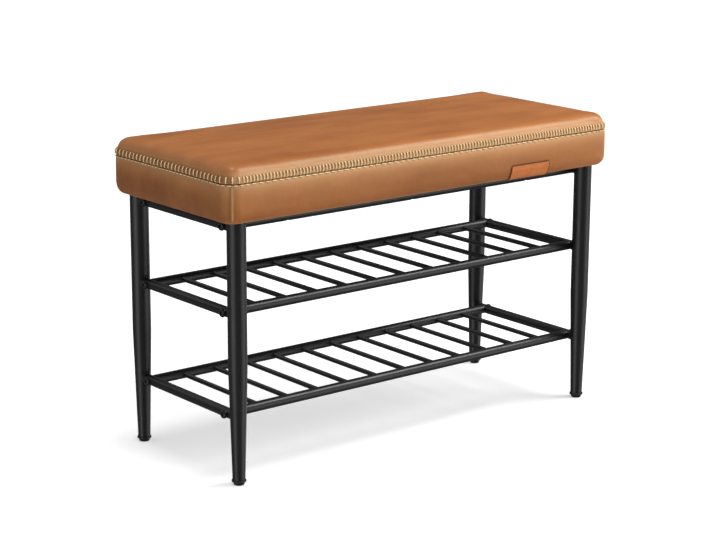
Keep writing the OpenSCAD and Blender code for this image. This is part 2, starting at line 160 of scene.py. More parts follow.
KEY_PLACE, SEAT_MIDDLE = Vector((1.65, -1.0, 2.4)), Vector((0, 0, 0.45))
KEY_W, KEY_H, KEY_GLOW = 1.1, 1.2, 12
bpy.ops.object.light_add(type="AREA", location=KEY_PLACE)
key = bpy.context.object
key.name = "key"
key.data.shape = "RECTANGLE"
key.data.size, key.data.size_y = KEY_W, KEY_H
key.data.energy = KEY_GLOW * KEY_W * KEY_H * math.pi
key.rotation_euler = (SEAT_MIDDLE - KEY_PLACE).to_track_quat("-Z", "Y").to_euler()

bpy.context.scene.view_settings.view_transform = "Standard"


# Legs. Round steel tube, straight above and tapered below, powder coated satin
# black; the plugs that close their tops are moulded in black plastic.
def new_finish(name, colour, roughness, specular=0.5):
    """A material, its shader, and the places on the piece that its patterns follow."""
    finish = bpy.data.materials.new(name)
    finish.use_nodes = True
    shader = finish.node_tree.nodes["Principled BSDF"]
    set_inputs(shader, {"Base Color": (*colour, 1), "Roughness": roughness, "Specular IOR Level": specular})
    return finish, shader, add_node(finish.node_tree, "TexCoord").outputs["Object"]


def noise(place, scale, detail=3.0, rough=0.5):
    """A noise pattern; scale is in repeats per metre."""
    inputs = {"Vector": place, "Scale": scale, "Detail": detail, "Roughness": rough}
    return add_node(place.id_data, "TexNoise", inputs).outputs["Fac"]


def ramp(value, *stops):
    """Colours for a pattern's values, from stops of position and colour."""
    band = add_node(value.id_data, "ValToRGB", {"Fac": value})
    while len(band.color_ramp.elements) < len(stops):
        band.color_ramp.elements.new(0.5)
    for element, (position, colour) in zip(band.color_ramp.elements, stops):
        element.position = position
        element.color = (*colour, 1)
    return band.outputs["Color"]


def bump(shader, height, depth, below=None):
    """Relief of a depth in metres, laid over the relief below it."""
    relief = add_node(shader.id_data, "Bump", {"Distance": depth, "Height": height})
    if below:
        set_inputs(relief, {"Normal": below})
    set_inputs(shader, {"Normal": relief.outputs["Normal"]})
    return relief.outputs["Normal"]


powder, shader, place = new_finish("powder_coat_black", (0.011, 0.0112, 0.0118), 0.36, 0.45)
speckle = noise(place, 1400, 2.0)
set_inputs(shader, {
    "Roughness": spread(noise(place, 40), 0.3, 0.42),
    "Base Color": ramp(speckle, (0.35, (0.009, 0.009, 0.0096)), (0.7, (0.014, 0.0142, 0.015))),
})
bump(shader, speckle, 0.03 * MM)


def paint(finish, *names):
    """Gives CAD nodes a finish."""
    for name in names:
        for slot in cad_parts[name].material_slots:
            slot.material = finish


ENDS = ("left", "right")
SIDES = ("front", "rear")
CORNERS = [f"{side}_{end}" for side in SIDES for end in ENDS]
paint(powder, *(f"leg_{corner}" for corner in CORNERS))

black_plastic, shader, place = new_finish("black_plastic", (0.018, 0.018, 0.019), 0.5, 0.4)
matt = noise(place, 900)
set_inputs(shader, {
    "Roughness": spread(matt, 0.42, 0.6),
    "Base Color": ramp(noise(place, 35), (0.3, (0.014, 0.014, 0.015)), (0.7, (0.023, 0.023, 0.024))),
})
bump(shader, matt, 0.05 * MM)
paint(black_plastic, "leg_caps")


# Feet. Each is a flanged pad moulded in black plastic round a zinc plated M8 stud,
# which screws up into a bush in the leg's end to level the bench.
def middle_of(name):
    """The middle of a CAD node's box."""
    low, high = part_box(name)
    return (low + high) / 2


def only(*pieces):
    """Makes these the only pieces selected, the first of them active."""
    bpy.ops.object.select_all(action="DESELECT")
    for piece in pieces:
        piece.select_set(True)
    bpy.context.view_layer.objects.active = pieces[0]


def add_modifier(piece, kind, **settings):
    """Adds a modifier with its settings and applies it."""
    extra = piece.modifiers.new(kind.lower(), kind)
    for name, value in settings.items():
        setattr(extra, name, value)
    only(piece)
    bpy.ops.object.modifier_apply(modifier=extra.name)


def pick_end(piece, way):
    """In edit mode, selects the faces that look up, for a way of 1, or down, for -1."""
    bpy.ops.mesh.select_all(action="DESELECT")
    bpy.ops.object.mode_set(mode="OBJECT")
    for face in piece.data.polygons:
        face.select = face.normal.z * way > 0.9
    bpy.ops.object.mode_set(mode="EDIT")
    bpy.ops.mesh.select_mode(type="FACE")


def new_piece(name):
    """Names the primitive just added and opens it in edit mode."""
    piece = bpy.context.object
    piece.name = name
    bpy.ops.object.transform_apply(location=True, rotation=True, scale=True)
    bpy.ops.object.mode_set(mode="EDIT")
    return piece


def draw_out(distance, grow=1.0):
    """Extrudes what is selected along Z and scales its end."""
    bpy.ops.mesh.extrude_region_move(TRANSFORM_OT_translate={"value": (0, 0, distance)})
    bpy.ops.transform.resize(value=(grow, grow, 1))


def rounded(piece, width, segments=3, angle=30):
    """Leaves edit mode, rounds the sharp edges and smooths the rest."""
    bpy.ops.object.mode_set(mode="OBJECT")
    add_modifier(
        piece, "BEVEL", width=width, segments=segments, limit_method="ANGLE", angle_limit=math.radians(angle)
    )
    bpy.ops.object.shade_smooth_by_angle(angle=math.radians(35))


def open_mesh(piece):
    """Opens a piece in edit mode with all of it selected."""
    only(piece)
    bpy.ops.object.mode_set(mode="EDIT")
    bpy.ops.mesh.select_all(action="SELECT")


def face_outwards(piece):
    """Merges doubled points and turns the faces outwards."""
    open_mesh(piece)
    bpy.ops.mesh.remove_doubles(threshold=0.01 * MM)
    bpy.ops.mesh.normals_make_consistent(inside=False)
    bpy.ops.object.mode_set(mode="OBJECT")


def joined(pieces, name):
    """Joins pieces into one, which it names, selects and returns."""
    only(*pieces)
    bpy.ops.object.join()
    pieces[0].name = name
    return pieces[0]


def copy_to(piece, name, where):
    """A copy with its own mesh, moved or turned by a matrix."""
    twin = piece.copy()
    twin.data = piece.data.copy()
    twin.name = name
    twin.data.transform(where)
    bpy.context.collection.objects.link(twin)
    return twin


FOOT_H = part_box("leg_front_left")[0].z
FLANGE_T, FLANGE_R = 3 * MM, 11.5 * MM
PAD_TOP_R, PAD_BASE_R = 9.5 * MM, 8 * MM
STUD_R = 4 * MM
STUD_LOW_Z, STUD_TOP_Z = (corner.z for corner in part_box("foot_stud_front_left"))
STUD_PLAY = 0.2 * MM
PITCH = 1.25 * MM
THREAD_DEPTH = 0.65 * MM
THREAD_BITE = 0.97  # under 1, so that the thread's foot sinks into the core

bpy.ops.mesh.primitive_cylinder_add(
    vertices=64, radius=FLANGE_R, depth=FLANGE_T, location=(0, 0, FOOT_H - FLANGE_T / 2)
)
foot = new_piece("foot_template")
pick_end(foot, -1)
bpy.ops.mesh.inset(thickness=FLANGE_R - PAD_TOP_R)
draw_out(FLANGE_T - FOOT_H, PAD_BASE_R / PAD_TOP_R)
pick_end(foot, 1)
bpy.ops.mesh.inset(thickness=FLANGE_R - STUD_R - STUD_PLAY)
draw_out(-(FOOT_H - STUD_LOW_Z))
rounded(foot, 0.7 * MM)
foot.data.materials.append(black_plastic)

zinc, shader, place = new_finish("zinc_plate", (0.6, 0.6, 0.61), 0.34)
set_inputs(shader, {
    "Metallic": 1.0,
    "Base Color": ramp(noise(place, 220), (0.3, (0.5, 0.5, 0.5)), (0.7, (0.68, 0.68, 0.67))),
    "Roughness": spread(noise(place, 500), 0.24, 0.44),
})
paint(zinc, "foot_bushes", "tube_inserts")

bpy.ops.mesh.primitive_cylinder_add(
    vertices=32,
    radius=STUD_R - THREAD_DEPTH * THREAD_BITE,
    depth=STUD_TOP_Z - STUD_LOW_Z,
    location=(0, 0, (STUD_TOP_Z + STUD_LOW_Z) / 2),
)
stud = new_piece("stud_template")
rounded(stud, 0.5 * MM, 2)
thread_foot = (STUD_R - THREAD_DEPTH, 0, FOOT_H)
bpy.ops.mesh.primitive_circle_add(vertices=4, radius=PITCH / 2, location=thread_foot, rotation=(math.pi / 2, 0, 0))
thread_form = new_piece("thread_template")
bpy.ops.mesh.select_mode(type="VERT")
bpy.ops.mesh.select_all(action="DESELECT")
bpy.ops.object.mode_set(mode="OBJECT")
min(thread_form.data.vertices, key=lambda corner: corner.co.x).select = True
bpy.ops.object.mode_set(mode="EDIT")
bpy.ops.mesh.delete(type="VERT")
bpy.ops.mesh.select_all(action="SELECT")
bpy.ops.transform.resize(value=(2 * THREAD_DEPTH / PITCH, 1, 1), center_override=thread_foot)
bpy.ops.object.mode_set(mode="OBJECT")
turns = int((STUD_TOP_Z - FOOT_H) / PITCH) - 1
add_modifier(thread_form, "SCREW", angle=2 * math.pi, screw_offset=PITCH, iterations=turns, steps=24, render_steps=24)
face_outwards(thread_form)
stud = joined([stud, thread_form], "stud_template")
stud.data.materials.clear()
stud.data.materials.append(zinc)

for corner in CORNERS:
    under_leg = middle_of(f"leg_{corner}")
    there = Matrix.Translation((under_leg.x, under_leg.y, 0))
    pad = copy_to(foot, f"foot_{corner}_moulding", there)
    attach(pad, f"foot_{corner}")
    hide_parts(f"foot_pad_{corner}")
    screw = copy_to(stud, f"foot_{corner}_stud", there)
    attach(screw, f"foot_{corner}")
    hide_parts(f"foot_stud_{corner}")
for template in (foot, stud):
    bpy.data.objects.remove(template)


# Side tubes and shelves. Round tubes run from front leg to rear leg and are welded
# to both; the long tubes are bolted between them, and each shelf's rods are welded
# to its long tubes. All are powder coated with the legs, welds and all.
SHELVES = ("lower", "upper")
RODS = range(1, 12)
TUBE_R, ROD_R = 8 * MM, 4 * MM
LEG_R, LEG_END_R, LEG_TAPER_Z = 15 * MM, 10 * MM, 188 * MM
SIDE_BEAD, ROD_BEAD = 1.2 * MM, 0.8 * MM
BEAD_OUT, RIPPLE = 0.15, 0.16  # shares of a bead's thickness
for shelf in SHELVES:
    paint(powder, *(f"{shelf}_side_tube_{end}" for end in ENDS), *(f"{shelf}_shelf_tube_{side}" for side in SIDES))
    paint(powder, *(f"{shelf}_shelf_rod_{i}" for i in RODS))
paint(powder, *(f"seat_side_tube_{end}" for end in ENDS), *(f"seat_rail_{side}" for side in SIDES))


def weld_bead(tube_r, against_r, fat, segments):
    """A rippled bead round a tube along Z whose end meets a cylinder along Y; the joint faces -Z."""
    ring_r = tube_r + BEAD_OUT * fat
    bpy.ops.mesh.primitive_torus_add(
        major_segments=segments, minor_segments=8, major_radius=ring_r, minor_radius=fat
    )
    bead = bpy.context.object
    for point in bead.data.vertices:
        angle = math.atan2(point.co.y, point.co.x)
        middle = Vector((math.cos(angle), math.sin(angle), 0)) * ring_r
        point.co = middle + (point.co - middle) * (1 + RIPPLE * math.sin(segments / 4 * angle))
        point.co.z += math.sqrt(against_r**2 - min(point.co.x, against_r) ** 2) - against_r
    return bead


def aimed(place, tube_way, across):
    """A matrix that lays Z along the tube's way and Y along the cylinder that it meets."""
    z, y = Vector(tube_way), Vector(across)
    return Matrix.Translation(place) @ Matrix((y.cross(z), y, z)).transposed().to_4x4()


def leg_radius(z):
    """The leg's outer radius at a height: straight above, tapered below."""
    return LEG_R - (LEG_R - LEG_END_R) * max(LEG_TAPER_Z - z, 0) / (LEG_TAPER_Z - FOOT_H)


INWARDS = {"front": 1, "rear": -1}
beads = []
for tube in ("lower_side_tube", "upper_side_tube", "seat_side_tube"):
    for end in ENDS:
        z = middle_of(f"{tube}_{end}").z
        bead = weld_bead(TUBE_R, leg_radius(z), SIDE_BEAD, 64)
        for side, way in INWARDS.items():
            leg = middle_of(f"leg_{side}_{end}")
            at = (leg.x, leg.y + way * leg_radius(z), z)
            beads.append(copy_to(bead, "side_bead", aimed(at, (0, way, 0), (0, 0, 1))))
        bpy.data.objects.remove(bead)
bead = weld_bead(ROD_R, TUBE_R, ROD_BEAD, 28)
for shelf in SHELVES:
    for i in RODS:
        rod = middle_of(f"{shelf}_shelf_rod_{i}")
        for side, way in INWARDS.items():
            at = (rod.x, middle_of(f"{shelf}_shelf_tube_{side}").y + way * TUBE_R, rod.z)
            beads.append(copy_to(bead, "rod_bead", aimed(at, (0, way, 0), (1, 0, 0))))
bpy.data.objects.remove(bead)
welds = joined(beads, "weld_beads")
welds.data.shade_smooth()
welds.data.materials.append(powder)
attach(welds, "frame")


# Frame bolts. Black M8 button head screws with a hexagon socket hold each long
# tube's ends against the side tubes; they bite in threaded inserts.
BOLT_R, BOLT_L = 4 * MM, 32 * MM
HEAD_R, HEAD_H, HEAD_RIM, HEAD_FLAT_R = 7 * MM, 4.4 * MM, 1.2 * MM, 4.25 * MM
SOCKET_W, SOCKET_T = 5 * MM, 2.6 * MM
DOME_STEPS = 4
BOLT_TURN = math.radians(17)

blackened, shader, place = new_finish("blackened_steel", (0.022, 0.022, 0.024), 0.34, 0.6)
set_inputs(shader, {
    "Metallic": 0.35,
    "Roughness": spread(noise(place, 300), 0.26, 0.42),
    "Base Color": ramp(noise(place, 90), (0.35, (0.016, 0.016, 0.018)), (0.7, (0.036, 0.036, 0.038))),
})


def cut(piece, cutter):
    """Takes a solid out of a piece, and out of the scene."""
    add_modifier(piece, "BOOLEAN", object=cutter, operation="DIFFERENCE", solver="EXACT")
    bpy.data.objects.remove(cutter)


bpy.ops.mesh.primitive_cylinder_add(vertices=48, radius=HEAD_R, depth=HEAD_RIM, location=(0, 0, HEAD_RIM / 2))
bolt = new_piece("bolt_template")
pick_end(bolt, 1)
radius = HEAD_R
for step in range(DOME_STEPS):
    low, high = (math.pi / 2 * k / DOME_STEPS for k in (step, step + 1))
    next_r = HEAD_FLAT_R + (HEAD_R - HEAD_FLAT_R) * math.cos(high) ** 0.8
    draw_out((HEAD_H - HEAD_RIM) * (math.sin(high) - math.sin(low)), next_r / radius)
    radius = next_r
pick_end(bolt, -1)
bpy.ops.mesh.inset(thickness=HEAD_R - BOLT_R)
draw_out(-BOLT_L)
rounded(bolt, 0.25 * MM, 2, 40)
bpy.ops.mesh.primitive_cylinder_add(
    vertices=6, radius=SOCKET_W / 2 / math.cos(math.pi / 6), depth=2 * SOCKET_T, location=(0, 0, HEAD_H)
)
cut(bolt, bpy.context.object)
bolts = []
for tube in ("lower_shelf_tube", "upper_shelf_tube", "seat_rail"):
    for side in SIDES:
        for end, way in (("left", -1), ("right", 1)):
            at, leg = middle_of(f"{tube}_{side}"), middle_of(f"leg_{side}_{end}")
            there = aimed((leg.x + way * TUBE_R, at.y, at.z), (way, 0, 0), (0, 1, 0))
            bolts.append(copy_to(bolt, "bolt", there @ Matrix.Rotation(BOLT_TURN * len(bolts), 4, "Z")))
bpy.data.objects.remove(bolt)
button_bolts = joined(bolts, "button_head_bolts")
bpy.ops.object.shade_smooth_by_angle(angle=math.radians(35))
button_bolts.data.materials.append(blackened)
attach(button_bolts, "frame")
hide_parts("frame_bolts")


# Seat fixings. Six pan head screws go up through the seat rails and plastic
# saddles into the plywood board; their heads sit inside the rails.
SCREW_R, SCREW_HEAD_R, SCREW_HEAD_H = 2.5 * MM, 5 * MM, 2.8 * MM
PAN_RIM_H, PAN_CURVE_H = 0.6 * MM, 0.9 * MM
PAN_FLAT, PAN_CURVE = 0.8, 0.82  # the flat's radius as a share of the head's and of its curve's
POINT_R, POINT_H = 0.5 * MM, 3 * MM
RECESS, RECESS_TAPER = (4.4 * MM, 1.1 * MM, 3 * MM), (0.45, 0.8, 1)
SCREW_TURN = 0.7
paint(black_plastic, "seat_spacers")
screw_low, screw_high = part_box("seat_screws")
SCREW_X = screw_high.x - SCREW_HEAD_R

bpy.ops.mesh.primitive_cylinder_add(
    vertices=40, radius=PAN_FLAT * SCREW_HEAD_R, depth=PAN_RIM_H, location=(0, 0, screw_low.z + PAN_RIM_H / 2)
)
pan_screw = new_piece("pan_screw_template")
pick_end(pan_screw, 1)
draw_out(PAN_CURVE_H, 1 / PAN_CURVE)
draw_out(SCREW_HEAD_H - PAN_RIM_H - PAN_CURVE_H, PAN_CURVE / PAN_FLAT)
bpy.ops.mesh.inset(thickness=SCREW_HEAD_R - SCREW_R)
draw_out(screw_high.z - screw_low.z - SCREW_HEAD_H - POINT_H)
draw_out(POINT_H, POINT_R / SCREW_R)
rounded(pan_screw, 0.3 * MM, 2)
for turn in (0, math.pi / 2):
    bpy.ops.mesh.primitive_cube_add(size=1, location=(0, 0, screw_low.z), rotation=(0, 0, turn))
    bpy.context.object.dimensions = RECESS
    blade = new_piece("recess_cut")
    pick_end(blade, 1)
    bpy.ops.transform.resize(value=RECESS_TAPER)
    bpy.ops.object.mode_set(mode="OBJECT")
    cut(pan_screw, blade)
screws = []
for side in SIDES:
    for x in (-SCREW_X, 0, SCREW_X):
        there = Matrix.Translation((x, middle_of(f"seat_rail_{side}").y, 0))
        screws.append(copy_to(pan_screw, "seat_screw", there @ Matrix.Rotation(SCREW_TURN * len(screws), 4, "Z")))
bpy.data.objects.remove(pan_screw)
pan_screws = joined(screws, "pan_head_screws")
bpy.ops.object.shade_smooth_by_angle(angle=math.radians(35))
pan_screws.data.materials.append(blackened)
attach(pan_screws, "frame")
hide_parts("seat_screws")


# Seat board. 12 mm birch plywood, its plies laid crosswise; only its edge and the
# holes would show if the leather came off.
PLY_T = 1.5 * MM


def multiplied(colour, by):
    """One colour times another."""
    inputs = {"Factor": 1.0, "A": colour, "B": by}
    return add_node(colour.id_data, "Mix", inputs, data_type="RGBA", blend_type="MULTIPLY").outputs["Result"]


ply, shader, place = new_finish("birch_plywood", (0.6, 0.42, 0.24), 0.6, 0.3)
tree = ply.node_tree
along_grain = add_node(tree, "Mapping", {"Vector": place, "Scale": (3, 60, 60)}).outputs["Vector"]
figure = noise(along_grain, 4, 6.0, 0.6)
wood = ramp(figure, (0.3, (0.5, 0.33, 0.17)), (0.55, (0.64, 0.46, 0.27)), (0.75, (0.72, 0.54, 0.34)))
height = add_node(tree, "SeparateXYZ", {0: place}).outputs["Z"]
plies = add_node(tree, "Math", {0: height, 1: PLY_T}, operation="PINGPONG").outputs[0]
layer = add_node(tree, "MapRange", {
    "Value": plies, "From Min": PLY_T / 3, "From Max": PLY_T / 1.5, "To Min": 0.72,
}).outputs["Result"]
set_inputs(shader, {"Base Color": multiplied(wood, layer)})
bump(shader, figure, 0.2 * MM)
paint(ply, "seat_board")


# Cushion form. A block of foam, boxed at the sides, that swells a little between
# the seam, the corners and the board; the leather and thread take its shape.
HALF_L, HALF_W = (reach + 16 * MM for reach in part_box("seat_board")[1].xy)
UNDER_Z, SEAM_Z = (corner.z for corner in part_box("leather_band"))
TOP_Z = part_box("leather_top")[1].z
CORNER_R, EDGE_R = 29 * MM, 25 * MM
LOW_EDGE_IN, LOW_EDGE_UP = 12.5 * MM, 17 * MM
LIP = 2.5 * MM
SIDE_IN, SIDE_PULL = 2.5 * MM, 1.5 * MM
CROWN = 4 * MM
RIM_Z = TOP_Z - CROWN
EDGE_Z = RIM_Z - EDGE_R


def on_plan(along, turn, inset):
    """Plan places on the outline at an inset: along is the place between corner centres, turn the way outwards."""
    radius = np.maximum(CORNER_R - inset, 1 * MM)
    x = along[0] * (HALF_L - inset - radius) + turn[0] * radius
    y = along[1] * (HALF_W - inset - radius) + turn[1] * radius
    return (
        x * (1 - SIDE_PULL / HALF_L * (1 - (y / HALF_W) ** 2)),
        y * (1 - SIDE_PULL / HALF_W * (1 - (x / HALF_L) ** 2)),
    )


def read_points(mesh, what="co"):
    """The places or normals of a mesh's points, one row each."""
    places = np.empty(len(mesh.vertices) * 3, np.float32)
    mesh.vertices.foreach_get(what, places)
    return places.reshape(-1, 3).astype(float)


def write_points(mesh, places):
    """Puts a mesh's points in new places."""
    mesh.vertices.foreach_set("co", places.astype(np.float32).ravel())
    mesh.update()


def draped_block(name, step, profile, inside=0):
    """A sheet over the block: a flat grid on top, then one ring for each point of the profile, out and down."""
    across, deep = round(2 * (HALF_L - CORNER_R) / step), round(2 * (HALF_W - CORNER_R) / step)
    rings = len(profile)
    bpy.ops.mesh.primitive_grid_add(x_subdivisions=across + 2 * rings, y_subdivisions=deep + 2 * rings, size=2)
    sheet = bpy.context.object
    sheet.name = name
    places = read_points(sheet.data)
    count_x = np.rint((places[:, 0] + 1) / 2 * (across + 2 * rings)) - rings
    count_y = np.rint((places[:, 1] + 1) / 2 * (deep + 2 * rings)) - rings
    on_x, on_y = np.clip(count_x, 0, across), np.clip(count_y, 0, deep)
    past_x, past_y = count_x - on_x, count_y - on_y
    ring = np.maximum(abs(past_x), abs(past_y)).astype(int)
    share = np.where(abs(past_x) >= abs(past_y), abs(past_y), 2 * ring - abs(past_x)) / np.maximum(2 * ring, 1)
    turn = (
        np.where(ring > 0, np.sign(past_x) * np.cos(share * math.pi / 2), 0),
        np.where(ring > 0, np.sign(past_y) * np.sin(share * math.pi / 2), 0),
    )
    insets, heights = np.array([(CORNER_R, RIM_Z - inside)] + profile).T
    x, y = on_plan((2 * on_x / across - 1, 2 * on_y / deep - 1), turn, insets[ring])
    write_points(sheet.data, np.stack([x, y, heights[ring]], 1))
    return sheet


def shoulder(flat_steps, round_steps, inside=0):
    """Profile of inset and height, from the flat top out and over the rounded edge."""
    flat_end, edge_r = SIDE_IN + EDGE_R, EDGE_R - inside
    flat = [(CORNER_R + (flat_end - CORNER_R) * k / flat_steps, RIM_Z - inside) for k in range(1, flat_steps + 1)]
    angles = [math.pi / 2 * k / round_steps for k in range(1, round_steps + 1)]
    return flat + [(flat_end - edge_r * math.sin(a), EDGE_Z + edge_r * math.cos(a)) for a in angles]


def low_edge(turn, out=0):
    """Inset and height on the lower edge at a turn in radians; the soft rim hangs a little below the board."""
    height = LOW_EDGE_UP + LIP
    return (
        SIDE_IN + LOW_EDGE_IN - (LOW_EDGE_IN + out) * math.cos(turn),
        UNDER_Z - LIP + height - (height + out) * math.sin(turn),
    )


def wall_and_turn(top_z, wall_steps, round_steps, inside=0):
    """Profile down the side from a height and round the lower edge."""
    wall = [(SIDE_IN + inside, z) for z in np.linspace(top_z, UNDER_Z + LOW_EDGE_UP, wall_steps + 1)]
    return wall + [low_edge(math.pi / 2 * k / round_steps, -inside) for k in range(1, round_steps + 1)]


form = draped_block("cushion_form", 8 * MM, shoulder(1, 5) + wall_and_turn(SEAM_Z, 6, 3))
rest = read_points(form.data)
CORNER_HOLD, CLOTH_STEPS = 0.6, 20


def blown_up(form, rest):
    """How far each point of the form moves when it is blown up as cloth, held at the seam, corners and board."""
    cover = copy_to(form, "blown_up", Matrix())
    at_seam = abs(rest[:, 2] - SEAM_Z) < 1 * MM
    at_board = rest[:, 2] < UNDER_Z + 4 * MM
    at_corner = (abs(rest[:, 0]) > HALF_L - CORNER_R) & (abs(rest[:, 1]) > HALF_W - CORNER_R) & (rest[:, 2] < SEAM_Z)
    held = cover.vertex_groups.new(name="held")
    held.add(np.nonzero(at_corner)[0].tolist(), CORNER_HOLD, "REPLACE")
    held.add(np.nonzero(at_seam | at_board)[0].tolist(), 1.0, "REPLACE")
    cloth = cover.modifiers.new("cloth", "CLOTH")
    settings = cloth.settings
    settings.quality = 6
    settings.mass = 0.4
    settings.tension_stiffness = settings.compression_stiffness = 25
    settings.shear_stiffness = 15
    settings.bending_stiffness = 2
    settings.use_pressure = True
    settings.uniform_pressure_force = 4
    settings.effector_weights.gravity = 0
    settings.vertex_group_mass = "held"
    settings.pin_stiffness = 2
    cloth.point_cache.frame_start, cloth.point_cache.frame_end = 1, CLOTH_STEPS
    for step in range(1, CLOTH_STEPS + 1):
        bpy.context.scene.frame_set(step)
    result = cover.evaluated_get(bpy.context.evaluated_depsgraph_get())
    moved = read_points(result.data) - rest
    bpy.data.objects.remove(cover)
    bpy.context.scene.frame_set(1)
    return moved


# Firm foam limits the swelling: the sides keep most of it, and the wide top rises
# only by its crown.
SIDE_SWELL = 1.2
swell = blown_up(form, rest)
above = np.clip((rest[:, 2] - SEAM_Z) / (2 * MM), 0, 1)
limit = SIDE_SWELL + (CROWN / swell[:, 2].max() - SIDE_SWELL) * above
swell = swell * limit[:, None]


# Foam. One closed block under the leather, with a step in its underside that takes
# the board; open-cell cream foam.
LEATHER = 1.2 * MM
UNDER_COVER = LEATHER + 0.3 * MM
BOARD_EDGE = 15.6 * MM
BOARD_TOP_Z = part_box("seat_board")[1].z + 0.2 * MM
FOAM_PULL = 2.4 * MM


def cells(place, scale, randomness=1.0, feature="F1"):
    """Distance from the middles of a pattern of cells; scale is in cells per metre."""
    inputs = {"Vector": place, "Scale": scale, "Randomness": randomness}
    return add_node(place.id_data, "TexVoronoi", inputs, feature=feature).outputs["Distance"]


foam_finish, shader, place = new_finish("cream_foam", (0.78, 0.68, 0.42), 0.95, 0.1)
set_inputs(shader, {"Base Color": ramp(noise(place, 60), (0.3, (0.7, 0.58, 0.32)), (0.7, (0.84, 0.75, 0.5)))})
bump(shader, cells(place, 900), 0.4 * MM)
under_board = [(BOARD_EDGE, UNDER_Z + UNDER_COVER), (BOARD_EDGE, BOARD_TOP_Z)]
foam = draped_block(
    "foam_block",
    8 * MM,
    shoulder(1, 6, UNDER_COVER) + wall_and_turn(SEAM_Z, 6, 4, UNDER_COVER) + under_board,
    UNDER_COVER,
)
foam.data.materials.append(foam_finish)


# Leather cover. Two panels of caramel pull-up leather, 1.2 mm thick, turned in at
# the seam: the top panel, and the band round the sides, which is joined at the
# corners and turned in under the board.
def carried(tree, name):
    """A value that the points of the piece carry."""
    return add_node(tree, "Attribute", attribute_name=name).outputs["Fac"]


leather, shader, place = new_finish("caramel_leather", (0.4, 0.134, 0.031), 0.4, 0.48)
tree = leather.node_tree
along_hide = add_node(tree, "Mapping", {"Vector": place, "Scale": (0.45, 1.5, 1.1)}).outputs["Vector"]
cloudy = noise(along_hide, 11, 6.0, 0.62)
tone = ramp(cloudy, (0.3, (0.315, 0.095, 0.021)), (0.5, (0.39, 0.13, 0.03)), (0.72, (0.47, 0.168, 0.043)))
# Painted highlight and painted shade: values that the points carry mix a pale tan into the leather's tone and darken
# it.
with_painted_highlight = add_node(
    tree, "Mix", {"Factor": carried(tree, "painted_highlight"), "A": tone, "B": (0.66, 0.39, 0.19, 1)}, data_type="RGBA"
).outputs["Result"]
darkening_with_painted_shade = ramp(carried(tree, "dark_tone_and_painted_shade"), (0.0, (0.16, 0.1, 0.07)), (1.0, (1, 1, 1)))
set_inputs(shader, {
    "Specular Tint": (1, 0.95, 0.7, 1),
    "Base Color": multiplied(with_painted_highlight, darkening_with_painted_shade),
    "Roughness": spread(noise(place, 25, 4.0), 0.36, 0.5),
})
pores = bump(shader, cells(place, 620, feature="SMOOTH_F1"), 0.12 * MM)
bump(shader, noise(place, 90, 4.0), 0.4 * MM, below=pores)

top_panel = draped_block(
    "top_panel",
    3 * MM,
    shoulder(2, 13) + [
        (SIDE_IN, SEAM_Z + 0.8 * MM),
        (SIDE_IN + 0.5 * MM, SEAM_Z + 0.1 * MM),
        (SIDE_IN + 3 * MM, SEAM_Z - 0.1 * MM),
    ],
)

# Places round the outline, from the middle of the rear side: place between corner
# centres, and turn
LONG_STEPS, SHORT_STEPS, TURN_STEPS = 122, 89, 36
half_way = [TURN_STEPS, SHORT_STEPS, TURN_STEPS]
steps = [LONG_STEPS, *half_way, 2 * LONG_STEPS, *half_way, LONG_STEPS]
stops = [
    (0, 1, 90), (1, 1, 90), (1, 1, 0), (1, -1, 0), (1, -1, -90),
    (-1, -1, -90), (-1, -1, -180), (-1, 1, -180), (-1, 1, -270), (0, 1, -270),
]
walk = [np.linspace(a, b, count, endpoint=False) for a, b, count in zip(stops, stops[1:], steps)]
walk = np.concatenate([*walk, [stops[-1]]]) * (1, 1, math.pi / 180)


def wrapped_strip(name, walk, profile):
    """A strip round the outline: one column for each place of the walk, one row for each point of the profile."""
    columns, rows = len(walk) - 1, len(profile) - 1
    bpy.ops.mesh.primitive_grid_add(x_subdivisions=columns, y_subdivisions=rows, size=2)
    strip = bpy.context.object
    strip.name = name
    places = read_points(strip.data)
    column = np.rint((places[:, 0] + 1) / 2 * columns).astype(int)
    row = np.rint((places[:, 1] + 1) / 2 * rows).astype(int)
    insets, heights = np.array(profile).T
    angle = walk[column, 2]
    x, y = on_plan((walk[column, 0], walk[column, 1]), (np.cos(angle), np.sin(angle)), insets[row])
    write_points(strip.data, np.stack([x, y, heights[row]], 1))
    face_outwards(strip)
    return strip


turned_under = [(inset, UNDER_Z) for inset in np.linspace(SIDE_IN + LOW_EDGE_IN + 3 * MM, 40 * MM, 7)]
side_band = wrapped_strip(
    "side_band",
    walk,
    [
        (SIDE_IN + 3.2 * MM, SEAM_Z - 1.0 * MM),
        (SIDE_IN + 1.2 * MM, SEAM_Z - 1.1 * MM),
        (SIDE_IN + 0.3 * MM, SEAM_Z - 1.8 * MM),
    ] + wall_and_turn(SEAM_Z - 3.2 * MM, 15, 6) + turned_under,
)


# Stitching. Waxed cream thread sewn by hand round the seam: upright stitches over
# the turned edge of the top panel, and a line of dashes that ties their feet.
BAR_LOW_Z = SEAM_Z - 0.8 * MM
BAR_TOP_TURN = 0.38
BARS_LONG, BARS_SHORT, BARS_TURN = 120, 28, 4
THREAD_R = 1.0 * MM
BAR_LEAN = 0.35 * MM
STRAND_RINGS = 8
DASH_FIRST, DASH_SHARE = 0.15, 0.7
DASH_DOWN, DASH_IN = 2.1 * MM, 0.6 * MM

thread, shader, place = new_finish("waxed_thread", (0.95, 0.7, 0.38), 0.45, 0.4)
set_inputs(shader, {"Base Color": ramp(noise(place, 160), (0.3, (0.93, 0.65, 0.33)), (0.7, (1.0, 0.79, 0.46)))})
lay = add_node(
    thread.node_tree, "TexWave", {"Vector": place.node.outputs["UV"], "Scale": 2.2}, bands_direction="DIAGONAL"
)
bump(shader, lay.outputs["Fac"], 0.3 * MM)


